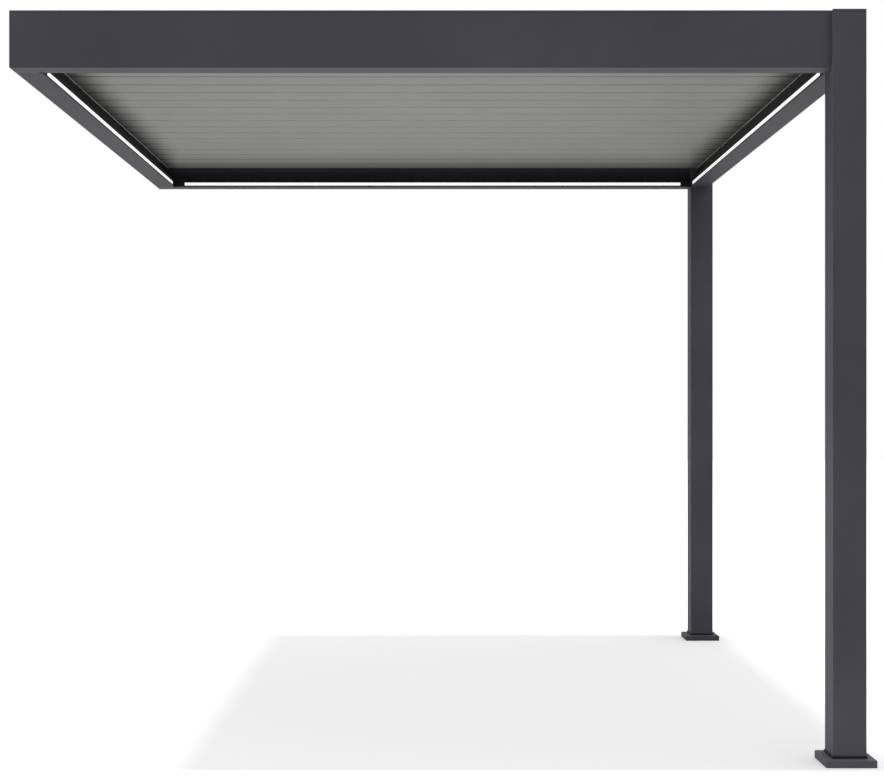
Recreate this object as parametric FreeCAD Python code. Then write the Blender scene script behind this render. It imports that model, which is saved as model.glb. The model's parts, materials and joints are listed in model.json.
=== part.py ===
import FreeCAD, Part
import math
import os

# Wall-mounted louvered pergola, in millimetres.
# The origin is the centre of the wall beam's outer face, where the pergola meets the house wall.
# +X points away from the wall to the posts, +Y from the front to the back, +Z up.

# Overall sizes
HEIGHT = 2500.0
REACH = 2835.0
DEPTH = 3000.0

# Posts and their caps
POST_SIDE = 111.0
POST_WALL = 3.0
POST_CORNER = 2.5
POST_CAP_THICK = 9.0
POST_CAP_BEVEL = 1.5
POST_CAP_SPIGOT = 14.0

# Feet: an anchor plate under each post and a cover that hides it
ANCHOR_SIDE = 150.0
ANCHOR_THICK = 8.0
ANCHOR_HOLE_RADIUS = 5.5
ANCHOR_HOLE_INSET = 10.0
COVER_RIM = 28.5
COVER_HEIGHT = 25.0
COVER_WALL = 2.0
COVER_CORNER = 4.0
COVER_BEVEL = 2.5

# Beams: one closed tube on each side of the roof
BEAM_HEIGHT = 190.0
BEAM_RECESS = 22.0
TUBE_WIDTH = 44.0
TUBE_WALL = 3.0
TUBE_CORNER = 1.5
GROOVE_DOWN = 8.0
GROOVE_HEIGHT = 1.2
GROOVE_DEPTH = 0.8
END_CAP_THICK = 3.0
WALL_BOLT_RADIUS = 5.5
WALL_BOLT_COUNT = 4
WALL_BOLT_SPACING = 800.0

# Gutters inside the beams, and the light strips in their inner walls
GUTTER_WALL = 3.0
GUTTER_FLANGE_THICK = 2.0
GUTTER_FLANGE_HEIGHT = 30.0
LIGHT_LIP = 7.0
LIGHT_HEIGHT = 15.0
LIGHT_DEPTH = 5.0
LIGHT_BACKING = 3.0
LIGHT_CORNER_GAP = 48.0

# Louvers: closed blades that turn about pins in the wall beam and the side beam
LOUVER_PITCH = 150.0
LOUVER_JOINT = 6.0
LOUVER_LEVEL = 88.0
LOUVER_END_GAP = 22.0
PIVOT_RISE = 32.0
BLADE_CORNER = 12.0
NOSE_CORNER = 4.0
BLADE_CROWN = 8.0
BLADE_SHOULDER = 8.0
LIP_RISE = 1.0
LIP_THICK = 3.0
LIP_OVERLAP = 5.5
TROUGH_WIDTH = 13.5
TROUGH_DEPTH = 8.0
TROUGH_SLOPE = 6.0
UPTURN_THICK = 2.5
BLADE_CAP_THICK = 3.0
BLADE_CAP_DROP = 1.5

# Pivots and the bar that links the louvers
PIVOT_RADIUS = 6.0
PIVOT_OVERRUN = 4.0
CRANK_RADIUS = 45.0
CRANK_ANGLE = 35.0
CRANK_PIN_RADIUS = 4.0
CRANK_PIN_OVERRUN = 2.0
CRANK_EYE_RADIUS = 10.0
BAR_THICK = 4.0
BAR_HEIGHT = 20.0
BAR_CORNER = 6.0
BAR_WALL_GAP = 9.0
BAR_END = 12.0

# Fixed strips that close the roof in front of the first louver and behind the last
STRIP_THICK = 3.0
STRIP_FLANGE = 25.0
STRIP_UPSTAND = 20.0
STRIP_EDGE_GAP = 5.5

# Clearances
MOVING_GAP = 5.0
PIN_GAP = 0.4
SEAT_GAP = 0.3

# Levels and lines of the frame
GROUND = BEAM_HEIGHT / 2 - HEIGHT
BEAM_BOTTOM = -BEAM_HEIGHT / 2
BEAM_TOP = BEAM_HEIGHT / 2
FRAME_HALF = DEPTH / 2 - BEAM_RECESS
FRAME_REACH = REACH - BEAM_RECESS
BEAM_WIDTH = POST_SIDE - BEAM_RECESS
POST_INNER_X = REACH - POST_SIDE
POST_INNER_Y = DEPTH / 2 - POST_SIDE
POST_X = REACH - POST_SIDE / 2
POST_Y = DEPTH / 2 - POST_SIDE / 2
TUBE_INNER_Y = FRAME_HALF - TUBE_WIDTH
TUBE_INNER_X = FRAME_REACH - TUBE_WIDTH

# Sizes of a louver that follow from the ones above
BLADE_HALF = (LOUVER_PITCH - LOUVER_JOINT) / 2
LIP_TIP = BLADE_HALF + LOUVER_JOINT + LIP_OVERLAP
UPTURN_TOP = LIP_RISE - MOVING_GAP
TROUGH_FLOOR = UPTURN_TOP - TROUGH_DEPTH
NOSE_DOWN = PIVOT_RISE + BLADE_CAP_DROP - NOSE_CORNER
SWING_RADIUS = math.hypot(BLADE_HALF - NOSE_CORNER, NOSE_DOWN) + NOSE_CORNER
LIP_SWING = math.hypot(LIP_TIP, LIP_RISE + LIP_THICK)
LOUVER_X0 = TUBE_WIDTH + LOUVER_END_GAP
LOUVER_X1 = TUBE_INNER_X - LOUVER_END_GAP
PIVOT_Z = BEAM_BOTTOM + LOUVER_LEVEL + PIVOT_RISE
GUTTER_HEIGHT = LOUVER_LEVEL + PIVOT_RISE - SWING_RADIUS - MOVING_GAP

# As many louvers as fit between the posts, centred
FIELD_LENGTH = 2 * (POST_INNER_Y - MOVING_GAP - LIP_SWING + LOUVER_PITCH / 2)
LOUVER_COUNT = int(FIELD_LENGTH // LOUVER_PITCH)
PIVOTS_Y = [(i - (LOUVER_COUNT - 1) / 2) * LOUVER_PITCH for i in range(LOUVER_COUNT)]
CRANK_Y = CRANK_RADIUS * math.cos(math.radians(CRANK_ANGLE))
CRANK_Z = CRANK_RADIUS * math.sin(math.radians(CRANK_ANGLE))
BAR_X = TUBE_WIDTH + BAR_WALL_GAP

ALONG_X = FreeCAD.Vector(1, 0, 0)
UP = FreeCAD.Vector(0, 0, 1)
SAME_PLACE = 1e-6

pieces = {}


def block(x0, x1, y0, y1, z0, z1):
    """A box between two corners."""
    return Part.makeBox(x1 - x0, y1 - y0, z1 - z0, FreeCAD.Vector(x0, y0, z0))


def rod(radius, x0, x1, y, z):
    """A round rod along X."""
    return Part.makeCylinder(radius, x1 - x0, FreeCAD.Vector(x0, y, z), ALONG_X)


def upright_edges(solid):
    """The straight edges of a solid that run along Z."""
    chosen = []
    for edge in solid.Edges:
        ends = [vertex.Point for vertex in edge.Vertexes]
        if len(ends) == 2 and ends[0].distanceToPoint(ends[1]) > 0:
            if (ends[1] - ends[0]).normalize().cross(UP).Length < SAME_PLACE:
                chosen.append(edge)
    return chosen


def edges_at_level(solid, level):
    """The edges of a solid that lie wholly at one height."""
    return [
        edge
        for edge in solid.Edges
        if all(abs(vertex.Point.z - level) < SAME_PLACE for vertex in edge.Vertexes)
    ]


def section(corners):
    """A flat face in the YZ plane from corners (y, z) or (y, z, radius)."""
    points = [FreeCAD.Vector(0, corner[0], corner[1]) for corner in corners]
    radii = [corner[2] if len(corner) > 2 else 0.0 for corner in corners]
    starts = []
    stops = []
    arcs = []
    for i, point in enumerate(points):
        back = (points[i - 1] - point).normalize()
        ahead = (points[(i + 1) % len(points)] - point).normalize()
        if radii[i] == 0.0:
            starts.append(point)
            stops.append(point)
            continue
        half_turn = back.getAngle(ahead) / 2
        setback = radii[i] / math.tan(half_turn)
        inward = (back + ahead).normalize()
        middle = point + inward * (radii[i] / math.sin(half_turn) - radii[i])
        starts.append(point + back * setback)
        stops.append(point + ahead * setback)
        arcs.append(Part.Arc(starts[-1], middle, stops[-1]).toShape())
    lines = []
    for i in range(len(points)):
        following = starts[(i + 1) % len(points)]
        if stops[i].distanceToPoint(following) > SAME_PLACE:
            lines.append(Part.LineSegment(stops[i], following).toShape())
    return Part.Face(Part.Wire(Part.__sortEdges__(lines + arcs)))


def extrusion(corners, length):
    """A section swept along +X from X = 0."""
    return section(corners).extrude(ALONG_X * length)


def placed(shape, x, y, turn):
    """A copy of a beam section's extrusion, turned about Z and moved to where it starts."""
    copy = shape.copy()
    copy.Placement = FreeCAD.Placement(
        FreeCAD.Vector(x, y, BEAM_BOTTOM), FreeCAD.Rotation(UP, turn)
    )
    return copy


def on_front(shape, start=END_CAP_THICK):
    """Stand an extrusion along the front of the frame, from the wall towards the posts."""
    return placed(shape, start, -FRAME_HALF, 0)


def on_back(shape, end=POST_INNER_X):
    """Stand an extrusion along the back of the frame, from the posts towards the wall."""
    return placed(shape, end, FRAME_HALF, 180)


def on_wall(shape, half_length):
    """Stand an extrusion along the wall, from the back to the front."""
    return placed(shape, 0, half_length, -90)


def on_side(shape, half_length):
    """Stand an extrusion along the posts' side, from the front to the back."""
    return placed(shape, FRAME_REACH, -half_length, 90)


# Posts: square tubes with a cap on top, an anchor plate welded below and a loose cover round it

def make_post(y):
    bottom = GROUND + ANCHOR_THICK
    top = BEAM_TOP - POST_CAP_THICK
    half = POST_SIDE / 2
    hollow = half - POST_WALL
    outside = block(POST_X - half, POST_X + half, y - half, y + half, bottom, top)
    outside = outside.makeFillet(POST_CORNER, upright_edges(outside))
    inside = block(POST_X - hollow, POST_X + hollow, y - hollow, y + hollow, bottom, top)
    return outside.cut(inside)


def make_post_cap(y):
    half = POST_SIDE / 2
    plug = half - POST_WALL - SEAT_GAP
    base = BEAM_TOP - POST_CAP_THICK
    plate = block(POST_X - half, POST_X + half, y - half, y + half, base, BEAM_TOP)
    plate = plate.makeFillet(POST_CORNER, upright_edges(plate))
    plate = plate.makeChamfer(POST_CAP_BEVEL, edges_at_level(plate, BEAM_TOP))
    spigot = block(POST_X - plug, POST_X + plug, y - plug, y + plug, base - POST_CAP_SPIGOT, base)
    return plate.fuse(spigot).removeSplitter()


def make_anchor_plate(y):
    half = ANCHOR_SIDE / 2
    plate = block(POST_X - half, POST_X + half, y - half, y + half, GROUND, GROUND + ANCHOR_THICK)
    offset = half - ANCHOR_HOLE_INSET
    for dx in (-offset, offset):
        for dy in (-offset, offset):
            centre = FreeCAD.Vector(POST_X + dx, y + dy, GROUND)
            plate = plate.cut(Part.makeCylinder(ANCHOR_HOLE_RADIUS, ANCHOR_THICK, centre))
    return plate


def make_foot_cover(y):
    half = POST_SIDE / 2 + COVER_RIM
    inner = half - COVER_WALL
    throat = POST_SIDE / 2 + SEAT_GAP
    top = GROUND + COVER_HEIGHT
    shell = block(POST_X - half, POST_X + half, y - half, y + half, GROUND, top)
    shell = shell.makeFillet(COVER_CORNER, upright_edges(shell))
    shell = shell.makeChamfer(COVER_BEVEL, edges_at_level(shell, top))
    room = block(
        POST_X - inner, POST_X + inner, y - inner, y + inner, GROUND, top - COVER_WALL - COVER_BEVEL
    )
    hole = block(POST_X - throat, POST_X + throat, y - throat, y + throat, GROUND, top)
    return shell.cut(room).cut(hole)


for name, post_y in (("front", -POST_Y), ("back", POST_Y)):
    pieces[name + "_post"] = make_post(post_y)
    pieces[name + "_post_cap"] = make_post_cap(post_y)
    pieces[name + "_anchor_plate"] = make_anchor_plate(post_y)
    pieces[name + "_foot_cover"] = make_foot_cover(post_y)


# Beams: the tube's section has a fine groove under its top edge, on the outer face

def tube(length):
    groove_top = BEAM_HEIGHT - GROOVE_DOWN
    groove_low = groove_top - GROOVE_HEIGHT
    outside = [
        (0, 0, TUBE_CORNER),
        (TUBE_WIDTH, 0),
        (TUBE_WIDTH, BEAM_HEIGHT, TUBE_CORNER),
        (0, BEAM_HEIGHT, TUBE_CORNER),
        (0, groove_top),
        (GROOVE_DEPTH, groove_top),
        (GROOVE_DEPTH, groove_low),
        (0, groove_low),
    ]
    inside = [
        (TUBE_WALL, TUBE_WALL),
        (TUBE_WIDTH - TUBE_WALL, TUBE_WALL),
        (TUBE_WIDTH - TUBE_WALL, BEAM_HEIGHT - TUBE_WALL),
        (TUBE_WALL, BEAM_HEIGHT - TUBE_WALL),
    ]
    return extrusion(outside, length).cut(extrusion(inside, length))


front_length = POST_INNER_X - END_CAP_THICK
pieces["front_beam"] = on_front(tube(front_length))
pieces["back_beam"] = on_back(tube(front_length))

# The wall beam runs on to the front and back tubes, and its ends are coped round the gutters there
wall_beam = on_wall(tube(2 * TUBE_INNER_Y), TUBE_INNER_Y)
for near, far in ((-TUBE_INNER_Y, -POST_INNER_Y), (POST_INNER_Y, TUBE_INNER_Y)):
    cope = block(0, TUBE_WIDTH, near, far, BEAM_BOTTOM, BEAM_BOTTOM + GUTTER_HEIGHT)
    wall_beam = wall_beam.cut(cope)
side_beam = on_side(tube(2 * POST_INNER_Y), POST_INNER_Y)

# Each louver's pins turn in holes through the inner walls of the wall beam and the side beam
for pivot_y in PIVOTS_Y:
    wall_hole = rod(PIVOT_RADIUS + PIN_GAP, TUBE_WIDTH - TUBE_WALL, TUBE_WIDTH, pivot_y, PIVOT_Z)
    side_hole = rod(PIVOT_RADIUS + PIN_GAP, TUBE_INNER_X, TUBE_INNER_X + TUBE_WALL, pivot_y, PIVOT_Z)
    wall_beam = wall_beam.cut(wall_hole)
    side_beam = side_beam.cut(side_hole)

# Fixing bolts go right through the wall beam at mid height
for i in range(WALL_BOLT_COUNT):
    bolt_y = (i - (WALL_BOLT_COUNT - 1) / 2) * WALL_BOLT_SPACING
    wall_beam = wall_beam.cut(rod(WALL_BOLT_RADIUS, 0, TUBE_WIDTH, bolt_y, 0))

pieces["wall_beam"] = wall_beam
pieces["side_beam"] = side_beam


def make_end_cap():
    """The L-shaped plate that closes a front or back beam's tube and gutter beside the wall."""
    corners = [
        (0, 0, TUBE_CORNER),
        (BEAM_WIDTH, 0),
        (BEAM_WIDTH, GUTTER_HEIGHT),
        (TUBE_WIDTH, GUTTER_HEIGHT),
        (TUBE_WIDTH, BEAM_HEIGHT),
        (0, BEAM_HEIGHT, TUBE_CORNER),
    ]
    return extrusion(corners, END_CAP_THICK)


pieces["front_end_cap"] = on_front(make_end_cap(), 0)
pieces["back_end_cap"] = on_back(make_end_cap(), END_CAP_THICK)


# Gutters: channels beside the tubes, thickened behind the light strips

def gutter(length, light_start, light_end):
    channel_top = LIGHT_LIP + LIGHT_HEIGHT + LIGHT_BACKING
    channel_back = BEAM_WIDTH - LIGHT_DEPTH - LIGHT_BACKING
    corners = [
        (TUBE_WIDTH, 0),
        (BEAM_WIDTH, 0),
        (BEAM_WIDTH, GUTTER_HEIGHT),
        (BEAM_WIDTH - GUTTER_WALL, GUTTER_HEIGHT),
        (BEAM_WIDTH - GUTTER_WALL, channel_top),
        (channel_back, channel_top),
        (channel_back, GUTTER_WALL),
        (TUBE_WIDTH + GUTTER_FLANGE_THICK, GUTTER_WALL),
        (TUBE_WIDTH + GUTTER_FLANGE_THICK, GUTTER_FLANGE_HEIGHT),
        (TUBE_WIDTH, GUTTER_FLANGE_HEIGHT),
    ]
    return extrusion(corners, length).cut(light(light_start, light_end))


def light(start, end):
    """A light strip, flush with the gutter's inner face."""
    back = BEAM_WIDTH - LIGHT_DEPTH
    return block(start, end, back, BEAM_WIDTH, LIGHT_LIP, LIGHT_LIP + LIGHT_HEIGHT)


long_light = (BEAM_WIDTH + LIGHT_CORNER_GAP - END_CAP_THICK, front_length - LIGHT_CORNER_GAP)
long_gutter = gutter(front_length, *long_light)
back_light = (LIGHT_CORNER_GAP, front_length - BEAM_WIDTH - LIGHT_CORNER_GAP + END_CAP_THICK)
back_gutter = on_back(gutter(front_length, *back_light))
cross_light = (LIGHT_CORNER_GAP, 2 * POST_INNER_Y - LIGHT_CORNER_GAP)
cross_gutter = gutter(2 * POST_INNER_Y, *cross_light)
front_gutter = on_front(long_gutter)

# The wall gutter drains through a notch into the front and back gutters
notch_depth = LIGHT_DEPTH + LIGHT_BACKING
for near in (-POST_INNER_Y - notch_depth, POST_INNER_Y):
    notch = block(
        TUBE_WIDTH + GUTTER_FLANGE_THICK,
        BEAM_WIDTH - notch_depth,
        near,
        near + notch_depth,
        BEAM_BOTTOM + GUTTER_WALL,
        BEAM_BOTTOM + GUTTER_HEIGHT,
    )
    front_gutter = front_gutter.cut(notch)
    back_gutter = back_gutter.cut(notch)

pieces["front_gutter"] = front_gutter
pieces["back_gutter"] = back_gutter
pieces["wall_gutter"] = on_wall(cross_gutter, POST_INNER_Y)
pieces["side_gutter"] = on_side(cross_gutter, POST_INNER_Y)
pieces["front_light"] = on_front(light(*long_light))
pieces["back_light"] = on_back(light(*back_light))
pieces["wall_light"] = on_wall(light(*cross_light), POST_INNER_Y)
pieces["side_light"] = on_side(light(*cross_light), POST_INNER_Y)


# Closing strips: the front one covers the first louver's trough, the last louver's lip covers the back one

def fit_strip(strip, post_y):
    """Trim a strip round the post it meets."""
    half = POST_SIDE / 2
    return strip.cut(block(POST_INNER_X, REACH, post_y - half, post_y + half, BEAM_BOTTOM, BEAM_TOP))


strip_level = PIVOT_Z - BEAM_BOTTOM
strip_length = TUBE_INNER_X - TUBE_WIDTH
front_edge = PIVOTS_Y[0] - LOUVER_PITCH + LIP_TIP + FRAME_HALF
front_strip = extrusion(
    [
        (TUBE_WIDTH, strip_level + LIP_RISE + LIP_THICK),
        (TUBE_WIDTH, strip_level + LIP_RISE + LIP_THICK - STRIP_FLANGE),
        (TUBE_WIDTH + STRIP_THICK, strip_level + LIP_RISE + LIP_THICK - STRIP_FLANGE),
        (TUBE_WIDTH + STRIP_THICK, strip_level + LIP_RISE),
        (front_edge, strip_level + LIP_RISE),
        (front_edge, strip_level + LIP_RISE + LIP_THICK),
    ],
    strip_length,
)
pieces["front_closing_strip"] = fit_strip(on_front(front_strip, TUBE_WIDTH), -POST_Y)

back_edge = FRAME_HALF - PIVOTS_Y[-1] - BLADE_HALF - LOUVER_JOINT - (STRIP_EDGE_GAP - UPTURN_THICK)
strip_floor = strip_level + TROUGH_FLOOR
back_strip = extrusion(
    [
        (TUBE_WIDTH, strip_floor - STRIP_THICK),
        (back_edge, strip_floor - STRIP_THICK),
        (back_edge, strip_level + UPTURN_TOP),
        (back_edge - UPTURN_THICK, strip_level + UPTURN_TOP),
        (back_edge - UPTURN_THICK, strip_floor),
        (TUBE_WIDTH + STRIP_THICK, strip_floor),
        (TUBE_WIDTH + STRIP_THICK, strip_floor + STRIP_UPSTAND),
        (TUBE_WIDTH, strip_floor + STRIP_UPSTAND),
    ],
    strip_length,
)
pieces["back_closing_strip"] = fit_strip(on_back(back_strip, TUBE_INNER_X), POST_Y)


# Louvers: the lip on one edge reaches over the trough on the next louver's edge

def blade_outline(drop):
    """Corners of a louver's section about its pivot, its underside lowered by drop."""
    low = -PIVOT_RISE - drop
    riser_foot = -BLADE_HALF + UPTURN_THICK + TROUGH_WIDTH
    return [
        (-BLADE_HALF, low, NOSE_CORNER),
        (BLADE_HALF, low, BLADE_CORNER),
        (BLADE_HALF, LIP_RISE),
        (LIP_TIP, LIP_RISE),
        (LIP_TIP, LIP_RISE + LIP_THICK),
        (BLADE_HALF - BLADE_SHOULDER, LIP_RISE + LIP_THICK),
        (BLADE_HALF - 2 * BLADE_SHOULDER, BLADE_CROWN),
        (riser_foot + TROUGH_SLOPE, BLADE_CROWN),
        (riser_foot, TROUGH_FLOOR),
        (-BLADE_HALF + UPTURN_THICK, TROUGH_FLOOR),
        (-BLADE_HALF + UPTURN_THICK, UPTURN_TOP),
        (-BLADE_HALF, UPTURN_TOP),
    ]


def crank_arm():
    """The plate that carries the crank pin, flat on a louver's end cap."""
    eye = rod(CRANK_EYE_RADIUS, 0, BLADE_CAP_THICK, CRANK_RADIUS, 0)
    web = block(0, BLADE_CAP_THICK, 0, CRANK_RADIUS, -CRANK_EYE_RADIUS, CRANK_EYE_RADIUS)
    arm = eye.fuse(web)
    arm.rotate(FreeCAD.Vector(0, 0, 0), ALONG_X, CRANK_ANGLE)
    return arm


def make_louver():
    """One louver about its pivot axis at Y = 0, Z = 0, with its pins and crank."""
    blade = extrusion(blade_outline(0), LOUVER_X1 - LOUVER_X0)
    end_cap = extrusion(blade_outline(BLADE_CAP_DROP), BLADE_CAP_THICK)
    far_cap = end_cap.copy()
    far_cap.translate(ALONG_X * (LOUVER_X1 - LOUVER_X0 - BLADE_CAP_THICK))
    pin_reach = LOUVER_END_GAP + TUBE_WALL + PIVOT_OVERRUN
    crank_reach = LOUVER_END_GAP - BAR_WALL_GAP + CRANK_PIN_OVERRUN
    parts = [
        end_cap,
        far_cap,
        crank_arm(),
        rod(PIVOT_RADIUS, -pin_reach, 0, 0, 0),
        rod(PIVOT_RADIUS, LOUVER_X1 - LOUVER_X0, LOUVER_X1 - LOUVER_X0 + pin_reach, 0, 0),
        rod(CRANK_PIN_RADIUS, -crank_reach, 0, CRANK_Y, CRANK_Z),
    ]
    return blade.fuse(parts).removeSplitter()


louver = make_louver()
for i, pivot_y in enumerate(PIVOTS_Y):
    copy = louver.copy()
    copy.translate(FreeCAD.Vector(LOUVER_X0, pivot_y, PIVOT_Z))
    pieces["louver_%02d" % (i + 1)] = copy


# Link bar: a flat bar beside the wall beam with one hole for each louver's crank pin

def make_link_bar():
    first = PIVOTS_Y[0] + CRANK_Y
    last = PIVOTS_Y[-1] + CRANK_Y
    level = PIVOT_Z + CRANK_Z
    half = BAR_HEIGHT / 2
    outline = [
        (first - BAR_END, level - half, BAR_CORNER),
        (last + BAR_END, level - half, BAR_CORNER),
        (last + BAR_END, level + half, BAR_CORNER),
        (first - BAR_END, level + half, BAR_CORNER),
    ]
    bar = extrusion(outline, BAR_THICK)
    bar.translate(ALONG_X * BAR_X)
    for pivot_y in PIVOTS_Y:
        hole = rod(CRANK_PIN_RADIUS + PIN_GAP, BAR_X, BAR_X + BAR_THICK, pivot_y + CRANK_Y, level)
        bar = bar.cut(hole)
    return bar


pieces["link_bar"] = make_link_bar()

os.makedirs("parts", exist_ok=True)
for name, shape in pieces.items():
    solids = shape.Solids
    whole = solids[0] if len(solids) == 1 else Part.makeCompound(solids)
    whole.exportStep("parts/%s.step" % name)
    print(name, len(solids), shape.isValid(), round(shape.Volume / 1e6, 3))
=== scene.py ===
"""Dresses the louvered pergola: finishes, edge rounding, fasteners, seals, light and camera."""

import json
import logging
import math
from dataclasses import dataclass, field
from enum import Enum
from typing import Iterable, Optional, Sequence

import bmesh
import bpy
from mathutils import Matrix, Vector


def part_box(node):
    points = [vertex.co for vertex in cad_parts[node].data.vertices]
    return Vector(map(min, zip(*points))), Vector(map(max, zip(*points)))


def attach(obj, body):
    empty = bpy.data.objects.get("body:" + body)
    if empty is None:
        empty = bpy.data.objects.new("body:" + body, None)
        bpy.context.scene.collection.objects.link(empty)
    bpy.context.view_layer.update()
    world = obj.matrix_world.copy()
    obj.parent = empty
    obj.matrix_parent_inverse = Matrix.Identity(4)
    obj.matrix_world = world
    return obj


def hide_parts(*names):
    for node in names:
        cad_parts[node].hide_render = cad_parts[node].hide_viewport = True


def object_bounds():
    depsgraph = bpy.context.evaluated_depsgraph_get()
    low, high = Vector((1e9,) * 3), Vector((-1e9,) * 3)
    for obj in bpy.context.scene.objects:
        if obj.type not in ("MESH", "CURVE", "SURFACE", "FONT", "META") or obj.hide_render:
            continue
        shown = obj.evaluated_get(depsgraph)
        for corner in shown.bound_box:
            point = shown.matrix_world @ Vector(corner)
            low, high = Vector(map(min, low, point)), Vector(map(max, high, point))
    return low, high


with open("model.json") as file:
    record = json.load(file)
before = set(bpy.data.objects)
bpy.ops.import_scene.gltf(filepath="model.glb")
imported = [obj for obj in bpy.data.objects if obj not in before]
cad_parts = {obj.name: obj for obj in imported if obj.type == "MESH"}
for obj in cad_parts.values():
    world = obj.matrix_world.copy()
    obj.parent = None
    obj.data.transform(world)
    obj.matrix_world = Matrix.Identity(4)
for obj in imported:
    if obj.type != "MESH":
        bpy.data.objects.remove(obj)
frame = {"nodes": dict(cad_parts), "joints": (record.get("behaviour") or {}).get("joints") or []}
CAD_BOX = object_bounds()

log = logging.getLogger("pergola")

Pair = tuple[float, float]
Point = tuple[float, float, float]
Box = tuple[Vector, Vector]
Material = bpy.types.Material
Mesh = bpy.types.Mesh
Node = bpy.types.Node
Object = bpy.types.Object
Socket = bpy.types.NodeSocket
Value = Socket | float | Sequence[float]
Inputs = dict[str | int, Value]
MM = 0.001


class Slot(Enum):
    """The record's material slots."""

    FRAME = "frame_dark"
    LOUVER = "louver_grey"
    LIGHT = "light_strip"
    ALUMINIUM = "bare_aluminium"
    ZINC = "zinc_steel"


class Facing(Enum):
    """Which way a head looks: the axis, the sign along it, and the turn that brings it there from above."""

    WALL = (0, -1, (0.0, -math.pi / 2, 0.0))
    POSTS = (0, 1, (0.0, math.pi / 2, 0.0))
    FRONT = (1, -1, (math.pi / 2, 0.0, 0.0))
    BACK = (1, 1, (-math.pi / 2, 0.0, 0.0))

    def __init__(self, axis: int, sign: int, turn: Point) -> None:
        """Name the three parts of the value."""
        self.axis, self.sign, self.turn = axis, sign, turn


ENDS = ("front", "back")
PIVOT_SIDES = ("wall", "side")
INWARD = {"front": Facing.BACK, "back": Facing.FRONT, "wall": Facing.POSTS, "side": Facing.WALL}


def face_of(box: Box, axis: int, sign: int) -> float:
    """Where a box ends on the side of an axis that the sign gives."""
    return box[1 if sign > 0 else 0][axis]


@dataclass(frozen=True)
class Grain:
    """A noise pattern: its cycles per metre and its octaves of finer noise."""

    scale: float
    detail: float


class Nodes:
    """Adds and links the nodes of one material or geometry tree."""

    noise_low: float = 0.3
    noise_high: float = 0.7

    def __init__(self, tree: bpy.types.NodeTree) -> None:
        """Start on a tree."""
        self.tree = tree

    def add(self, kind: str, inputs: Optional[Inputs] = None, **values: object) -> Node:
        """Add a node, set its properties and feed its inputs.

        Args:
            kind: The node's type name.
            inputs: A socket or a constant for each input, by the input's name or place.
            values: Properties of the node by name.

        Returns:
            The new node.
        """
        node = self.tree.nodes.new(kind)
        for name, value in values.items():
            setattr(node, name, value)
        for key, value in (inputs or {}).items():
            self.feed(node.inputs[key], value)
        return node

    def feed(self, target: Socket, value: Value) -> None:
        """Link an input to a socket, or set it to a constant.

        Args:
            target: The input.
            value: The socket or the constant.
        """
        if isinstance(value, Socket):
            self.tree.links.new(value, target)
        else:
            target.default_value = value

    def place(self) -> Socket:
        """The Object coordinates, which don't slide on a moving piece."""
        return self.add("ShaderNodeTexCoord").outputs["Object"]

    def part(self, vector: Socket, axis: str) -> Socket:
        """One part of a vector, by the letter of its axis."""
        return self.add("ShaderNodeSeparateXYZ", {"Vector": vector}).outputs[axis]

    def noise(self, place: Socket, grain: Grain) -> Socket:
        """A noise pattern over a place, with most values from 0.3 to 0.7."""
        inputs = {"Vector": place, "Scale": grain.scale, "Detail": grain.detail}
        return self.add("ShaderNodeTexNoise", inputs).outputs["Fac"]

    def math(self, operation: str, *terms: Value) -> Socket:
        """Work out a value from one or two sockets or constants."""
        return self.add("ShaderNodeMath", dict(enumerate(terms)), operation=operation).outputs["Value"]

    def ramp(
        self, value: Socket, start: float, end: float, low: float = 0.0, high: float = 1.0,
        shape: str = "LINEAR",
    ) -> Socket:
        """Go from one level to another between two values, and hold the level beyond them.

        Args:
            value: The value to map.
            start: Where the result leaves the first level.
            end: Where the result reaches the second level.
            low: The first level.
            high: The second level.
            shape: The way between them.

        Returns:
            The mapped value.
        """
        inputs = {"Value": value, "From Min": start, "From Max": end, "To Min": low, "To Max": high}
        return self.add("ShaderNodeMapRange", inputs, interpolation_type=shape).outputs["Result"]

    def spread(self, noise: Socket, low: float = 0.0, high: float = 1.0) -> Socket:
        """Spread a noise pattern over a range."""
        return self.ramp(noise, self.noise_low, self.noise_high, low, high)

    def fading(self, distance: Socket, near: float, far: float) -> Socket:
        """Fall smoothly with a distance, from 1 up to the near one to 0 at the far one."""
        return self.ramp(distance, near, far, 1.0, 0.0, "SMOOTHSTEP")

    def mix(self, share: Socket, first: Value, second: Value) -> Socket:
        """Mix two colours.

        Args:
            share: 0 for the first colour, 1 for the second.
            first: A socket, or linear red, green and blue.
            second: A socket, or linear red, green and blue.

        Returns:
            The mixed colour.
        """
        first, second = [tone if isinstance(tone, Socket) else (*tone, 1.0) for tone in (first, second)]
        inputs = {"Factor": share, "A": first, "B": second}
        return self.add("ShaderNodeMix", inputs, data_type="RGBA").outputs["Result"]

    def two_tone(self, share: Socket, colour: Point, variation: float) -> Socket:
        """Vary a colour from a little darker where the share is 0 to a little lighter where it is 1."""
        sides = (1.0 - variation, 1.0 + variation)
        return self.mix(share, *[[min(1.0, channel * side) for channel in colour] for side in sides])

    def bump(self, shader: Node, height: Socket, strength: float, distance: float) -> None:
        """Give a shader a fine relief.

        Args:
            shader: The shader.
            height: The relief's height, about 0 to 1.
            strength: How much of it shows.
            distance: What a height of 1 stands for, in metres.
        """
        relief = self.add("ShaderNodeBump", {"Height": height, "Strength": strength, "Distance": distance})
        self.feed(shader.inputs["Normal"], relief.outputs["Normal"])


def empty_material(name: str) -> tuple[Material, Nodes]:
    """Make a node material with nothing in it.

    Args:
        name: The material's name.

    Returns:
        The material and its nodes.
    """
    material = bpy.data.materials.new(name)
    material.use_nodes = True
    material.node_tree.nodes.clear()
    return material, Nodes(material.node_tree)


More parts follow.
